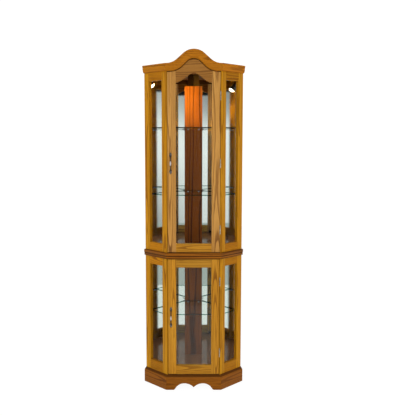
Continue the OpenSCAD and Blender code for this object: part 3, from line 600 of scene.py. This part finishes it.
metals = {name: metalMaterial(name) for name in metalLooks}
metalOf = {"frame_hinge_leaves": "nickel", "upper_door_hinge_leaves": "nickel",
           "lower_door_hinge_leaves": "nickel", "upper_door_strike": "steel", "lower_door_strike": "steel",
           "shelf_pins": "steel", "lamp_can": "blackEnamel", "lamp_bracket": "blackEnamel",
           "door_catches": "brownPlastic"}
for node, metal in metalOf.items():
    dress(node, metals[metal])
dress("lamp_bulb", bulbMaterial())
for node in ("upper_door_pull", "lower_door_pull"):
    easedPiece(node, "_form", pullMaterial(node), pullLook["ease"], pullLook["shortest"])
print("metal and lamp")


# Small heads that repeat: nails of the back boards and finials of the hinge barrels

headForm = {"segments": 16, "rings": 10}


def makeHeads():
    group = bpy.data.node_groups.new("heads", "GeometryNodeTree")
    for label, kind in (("Places", "Geometry"), ("Radius", "Float"), ("Squash", "Float"), ("Turn", "Vector"),
                        ("Finish", "Material")):
        group.interface.new_socket(name=label, in_out="INPUT", socket_type="NodeSocket" + kind)
    group.interface.new_socket(name="Heads", in_out="OUTPUT", socket_type="NodeSocketGeometry")
    source = group.nodes.new("NodeGroupInput").outputs
    result = group.nodes.new("NodeGroupOutput")

    def step(kind, inputs):
        return addNode(group, kind, inputs).outputs[0]

    head = step("GeometryNodeMeshUVSphere", {"Segments": headForm["segments"], "Rings": headForm["rings"],
                                             "Radius": source["Radius"]})
    squash = step("ShaderNodeCombineXYZ", {"X": 1.0, "Y": 1.0, "Z": source["Squash"]})
    head = step("GeometryNodeTransform", {"Geometry": head, "Scale": squash})
    head = step("GeometryNodeTransform", {"Geometry": head, "Rotation": source["Turn"]})
    points = step("GeometryNodeMeshToPoints", {"Mesh": source["Places"]})
    heads = step("GeometryNodeInstanceOnPoints", {"Points": points, "Instance": head})
    heads = step("GeometryNodeRealizeInstances", {"Geometry": heads})
    heads = step("GeometryNodeSetShadeSmooth", {"Geometry": heads})
    heads = step("GeometryNodeSetMaterial", {"Geometry": heads, "Material": source["Finish"]})
    group.links.new(heads, result.inputs[0])
    return group


headsTree = makeHeads()


def placeHeads(name, places, look, turn, finish):
    mesh = bpy.data.meshes.new(name + "_places")
    mesh.from_pydata([tuple(place) for place in places], [], [])
    carrier = bpy.data.objects.new(name + "_places", mesh)
    scene.collection.objects.link(carrier)
    modifier = carrier.modifiers.new("heads", "NODES")
    modifier.node_group = headsTree
    sockets = {item.name: item.identifier for item in headsTree.interface.items_tree
               if item.in_out == "INPUT"}
    settings = {"Radius": look["radius"], "Squash": look["squash"], "Turn": turn, "Finish": finish}
    for label, value in settings.items():
        modifier[sockets[label]] = value
    bpy.context.view_layer.update()
    made = bpy.data.meshes.new_from_object(carrier.evaluated_get(bpy.context.evaluated_depsgraph_get()))
    bpy.data.objects.remove(carrier)
    newPiece(name, made, "cabinet", finish)


nailLook = {"spacing": 0.11, "inset": 0.009, "radius": 0.0026, "squash": 0.35, "sunk": 0.0004,
            "flatness": 1e-4}
for side, sign in (("left", -1), ("right", 1)):
    board = cadNodes[side + "_back_board"]
    out = Vector((sign, 1, 0)).normalized()
    along = Vector((-sign, 1, 0)).normalized()
    corners = [board.matrix_world @ vertex.co for vertex in board.data.vertices]
    face = max(corner.dot(out) for corner in corners)
    onFace = [corner for corner in corners if face - corner.dot(out) < nailLook["flatness"]]
    edges = [min(corner.dot(along) for corner in onFace) + nailLook["inset"],
             max(corner.dot(along) for corner in onFace) - nailLook["inset"]]
    low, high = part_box(side + "_back_board")
    rows = max(2, round((high.z - low.z) / nailLook["spacing"]))
    heights = np.linspace(low.z + nailLook["inset"], high.z - nailLook["inset"], rows)
    places = [out * (face - nailLook["sunk"]) + along * edge + Vector((0, 0, height))
              for edge in edges for height in heights]
    tilt = out.to_track_quat("Z", "Y").to_euler()
    placeHeads(side + "_back_nails", places, nailLook, tilt, metals["steel"])

# one hinge is told from the next by the gap between the heights of their corners
finialLook = {"radius": 0.0026, "squash": 1.15, "gap": 0.06}
hinge = cadNodes["frame_hinge_leaves"]
levels = sorted({round((hinge.matrix_world @ vertex.co).z, 4) for vertex in hinge.data.vertices})
ends = [levels[0]]
for lower, upper in zip(levels, levels[1:]):
    if upper - lower > finialLook["gap"]:
        ends += [lower, upper]
ends.append(levels[-1])
axis = Vector(record["behaviour"]["joints"][0]["pos_m"])
places = [Vector((axis.x, axis.y, level)) for level in ends]
placeHeads("hinge_finials", places, finialLook, Vector(), metals["nickel"])
print("nails and finials")


# Floor, background and light

backdropWhite = 1.08
floorLook = {"half": 6.0, "spread": 0.82, "roughness": 0.9, "shadowShare": 0.12,
             "near": (0.86, 0.93, 0.88), "far": (0.4, 0.47, 0.43), "brightReach": 1.62}


def raysSeen(tree):
    # whether a ray comes straight from the camera, also through glass, or by way of a mirror
    path = addNode(tree, "ShaderNodeLightPath").outputs
    unspread = calc(tree, "LESS_THAN", path["Diffuse Depth"], 0.5)
    turned = calc(tree, "GREATER_THAN", path["Glossy Depth"], 0.5)
    mirrored = calc(tree, "MULTIPLY", unspread, turned)
    return calc(tree, "SUBTRACT", unspread, mirrored), mirrored


def makeFloor():
    half = floorLook["half"]
    mesh = bpy.data.meshes.new("floor")
    corners = [(-half, -half, 0), (half, -half, 0), (half, half, 0), (-half, half, 0)]
    mesh.from_pydata(corners, [], [(0, 1, 2, 3)])
    floor = bpy.data.objects.new("floor", mesh)
    scene.collection.objects.link(floor)
    material, tree, skin = newMaterial("paleFloor")
    spread = floorLook["spread"]
    skin.inputs["Base Color"].default_value = (spread, spread, spread, 1)
    skin.inputs["Roughness"].default_value = floorLook["roughness"]
    # the mirrors show the floor bright near the cabinet and dark further off
    edge = doorFront - floorLook["brightReach"]
    far = calc(tree, "LESS_THAN", axisOf(tree, objectPlace(tree), "Y"), edge)
    mirrored = mixColour(tree, far, (*floorLook["near"], 1), (*floorLook["far"], 1))
    direct, byMirror = raysSeen(tree)
    colour = mixColour(tree, direct, mirrored, (backdropWhite, backdropWhite, backdropWhite, 1))
    glow = addNode(tree, "ShaderNodeEmission", {"Color": colour, "Strength": 1.0})
    blend = addNode(tree, "ShaderNodeMixShader")
    seen = calc(tree, "ADD", direct, byMirror)
    feed(tree, blend.inputs[0], calc(tree, "MULTIPLY", seen, 1 - floorLook["shadowShare"]))
    tree.links.new(skin.outputs[0], blend.inputs[1])
    tree.links.new(glow.outputs[0], blend.inputs[2])
    tree.links.new(blend.outputs[0], tree.nodes["Material Output"].inputs["Surface"])
    mesh.materials.append(material)


# rise is how steeply a ray goes up, aside how far it goes to the side, and the spans spread their small
# values over the whole of a ramp
roomLook = {"strength": 0.64, "tint": (0.95, 1.0, 0.97),
            "wallSpan": 10.0, "wallTones": [(0, 1), (0.26, 0.92), (0.57, 0.66)], "wallEnd": 0.0715,
            "endTone": 0.56, "darkTone": 0.012, "endSoftness": 0.01, "asideFrom": 0.03, "asideLift": 0.006,
            "sideSpan": 8.0, "sideTones": [(0.2, 0.6), (0.8, 1)], "sideRise": [(0.15, 0), (0.5, 1)],
            "footSpan": 5.0, "footRise": [(0.02, 0), (0.13, 1), (0.145, 1), (0.15, 0)],
            "footTones": [(0, 1), (0.04, 0.8), (0.425, 0.84), (0.575, 0.64), (0.775, 0.43), (0.96, 0.4),
                          (1, 1)],
            "ceiling": [(0.15, 0), (0.16, 0.45)]}


def mirroredRoom(tree):
    # the mirrors show a bright wall that ends a little above eye level, and higher towards the sides
    look = roomLook
    heading = addNode(tree, "ShaderNodeTexCoord").outputs["Generated"]
    parts = addNode(tree, "ShaderNodeSeparateXYZ", {"Vector": heading}).outputs
    aside, rise = parts["X"], parts["Z"]
    lifted = calc(tree, "GREATER_THAN", calc(tree, "ABSOLUTE", aside), look["asideFrom"])
    sunk = calc(tree, "MULTIPLY_ADD", lifted, -look["asideLift"], rise)
    end = look["wallEnd"] * look["wallSpan"]
    wallEnd = [(end - look["endSoftness"], look["endTone"]), (end + look["endSoftness"], look["darkTone"])]
    wall = ramp(tree, calc(tree, "MULTIPLY", sunk, look["wallSpan"]), look["wallTones"] + wallEnd)
    # the upper part of the wall is dimmer on its one side, and the foot on the other
    side = ramp(tree, calc(tree, "MULTIPLY_ADD", aside, look["sideSpan"], 0.5), look["sideTones"])
    high = ramp(tree, calc(tree, "MULTIPLY", rise, look["wallSpan"]), look["sideRise"])
    wall = mixColour(tree, high, wall, tinted(tree, wall, side))
    foot = ramp(tree, calc(tree, "MULTIPLY_ADD", aside, look["footSpan"], 0.5), look["footTones"])
    low = ramp(tree, calc(tree, "MULTIPLY", rise, -1), look["footRise"])
    wall = mixColour(tree, low, wall, tinted(tree, wall, foot))
    wall = mixColour(tree, 1.0, wall, ramp(tree, rise, look["ceiling"]), "ADD")
    return tinted(tree, (*look["tint"], 1), wall)


def makeWorld():
    # light from all round, the mirrored room for rays turned by a mirror, and white behind the cabinet
    world = bpy.data.worlds.new("paleRoom")
    scene.world = world
    world.use_nodes = True
    tree = world.node_tree
    tree.nodes.clear()

    def background(colour, strength):
        return addNode(tree, "ShaderNodeBackground", {"Color": colour, "Strength": strength}).outputs[0]

    def blended(factor, first, second):
        blend = addNode(tree, "ShaderNodeMixShader")
        for socket, value in zip(blend.inputs, (factor, first, second)):
            feed(tree, socket, value)
        return blend.outputs[0]

    direct, byMirror = raysSeen(tree)
    room = background((1, 1, 1, 1), roomLook["strength"])
    mirrored = background(mirroredRoom(tree), 1.0)
    backdrop = background((1, 1, 1, 1), backdropWhite)
    light = blended(direct, blended(byMirror, room, mirrored), backdrop)
    output = addNode(tree, "ShaderNodeOutputWorld")
    tree.links.new(light, output.inputs["Surface"])


studioLights = {
    "key": {"place": (-1.6, -3.2, 2.4), "size": 1.8, "power": 28},
    "fill": {"place": (1.6, -2.4, 0.5), "size": 1.6, "power": 20},
}


def placeLight(light, place, aim):
    lamp = bpy.data.objects.new(light.name, light)
    lamp.location = place
    lamp.rotation_euler = aim.to_track_quat("-Z", "Y").to_euler()
    scene.collection.objects.link(lamp)


def makeStudioLights():
    middle = Vector((0, 0, (cadBox[0][2] + cadBox[1][2]) / 2))
    for name, values in studioLights.items():
        light = bpy.data.lights.new(name, "AREA")
        light.energy = values["power"]
        light.size = values["size"]
        placeLight(light, values["place"], middle - Vector(values["place"]))


cabinetLamp = {"belowTop": 0.085, "softness": 0.01, "inFront": 0.003, "tint": (1.0, 0.69, 0.12),
               "beam": {"power": 9.5, "spread": 84, "blend": 0.9},
               "spill": {"power": 1.6, "spread": 150, "blend": 0.5}}


def middleOf(node):
    low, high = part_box(node)
    return (low + high) / 2


def makeCabinetLamp():
    # the small lamp throws a beam on the top of the corner cover, and weaker light all round its can's axis
    glass = cadNodes["lamp_bulb"]
    bulb = middleOf("lamp_bulb")
    axis = (bulb - middleOf("lamp_can")).normalized()
    reach = max((glass.matrix_world @ corner.co - bulb).dot(axis) for corner in glass.data.vertices)
    start = bulb + axis * (reach + cabinetLamp["inFront"])
    low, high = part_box("upper_corner_cover")
    target = Vector(((low.x + high.x) / 2, low.y, high.z - cabinetLamp["belowTop"]))
    for name, aim in (("beam", target - start), ("spill", axis)):
        values = cabinetLamp[name]
        light = bpy.data.lights.new(name, "SPOT")
        light.energy = values["power"]
        light.color = cabinetLamp["tint"]
        light.shadow_soft_size = cabinetLamp["softness"]
        light.spot_size = math.radians(values["spread"])
        light.spot_blend = values["blend"]
        placeLight(light, start, aim)


cameraView = {"left": 0.02204, "inFront": 3.11655, "height": 1.32257, "pitch": 6.153, "lens": 52.457,
              "shiftX": 0.0444, "shiftY": -0.0063}


def makeCamera():
    data = bpy.data.cameras.new("camera")
    data.lens = cameraView["lens"]
    data.shift_x = cameraView["shiftX"]
    data.shift_y = cameraView["shiftY"]
    camera = bpy.data.objects.new("camera", data)
    camera.location = (-cameraView["left"], doorFront - cameraView["inFront"], cameraView["height"])
    camera.rotation_euler = (math.radians(90 - cameraView["pitch"]), 0, 0)
    scene.collection.objects.link(camera)
    scene.camera = camera


makeFloor()
makeWorld()
makeStudioLights()
makeCabinetLamp()
makeCamera()
print("floor, light and camera")
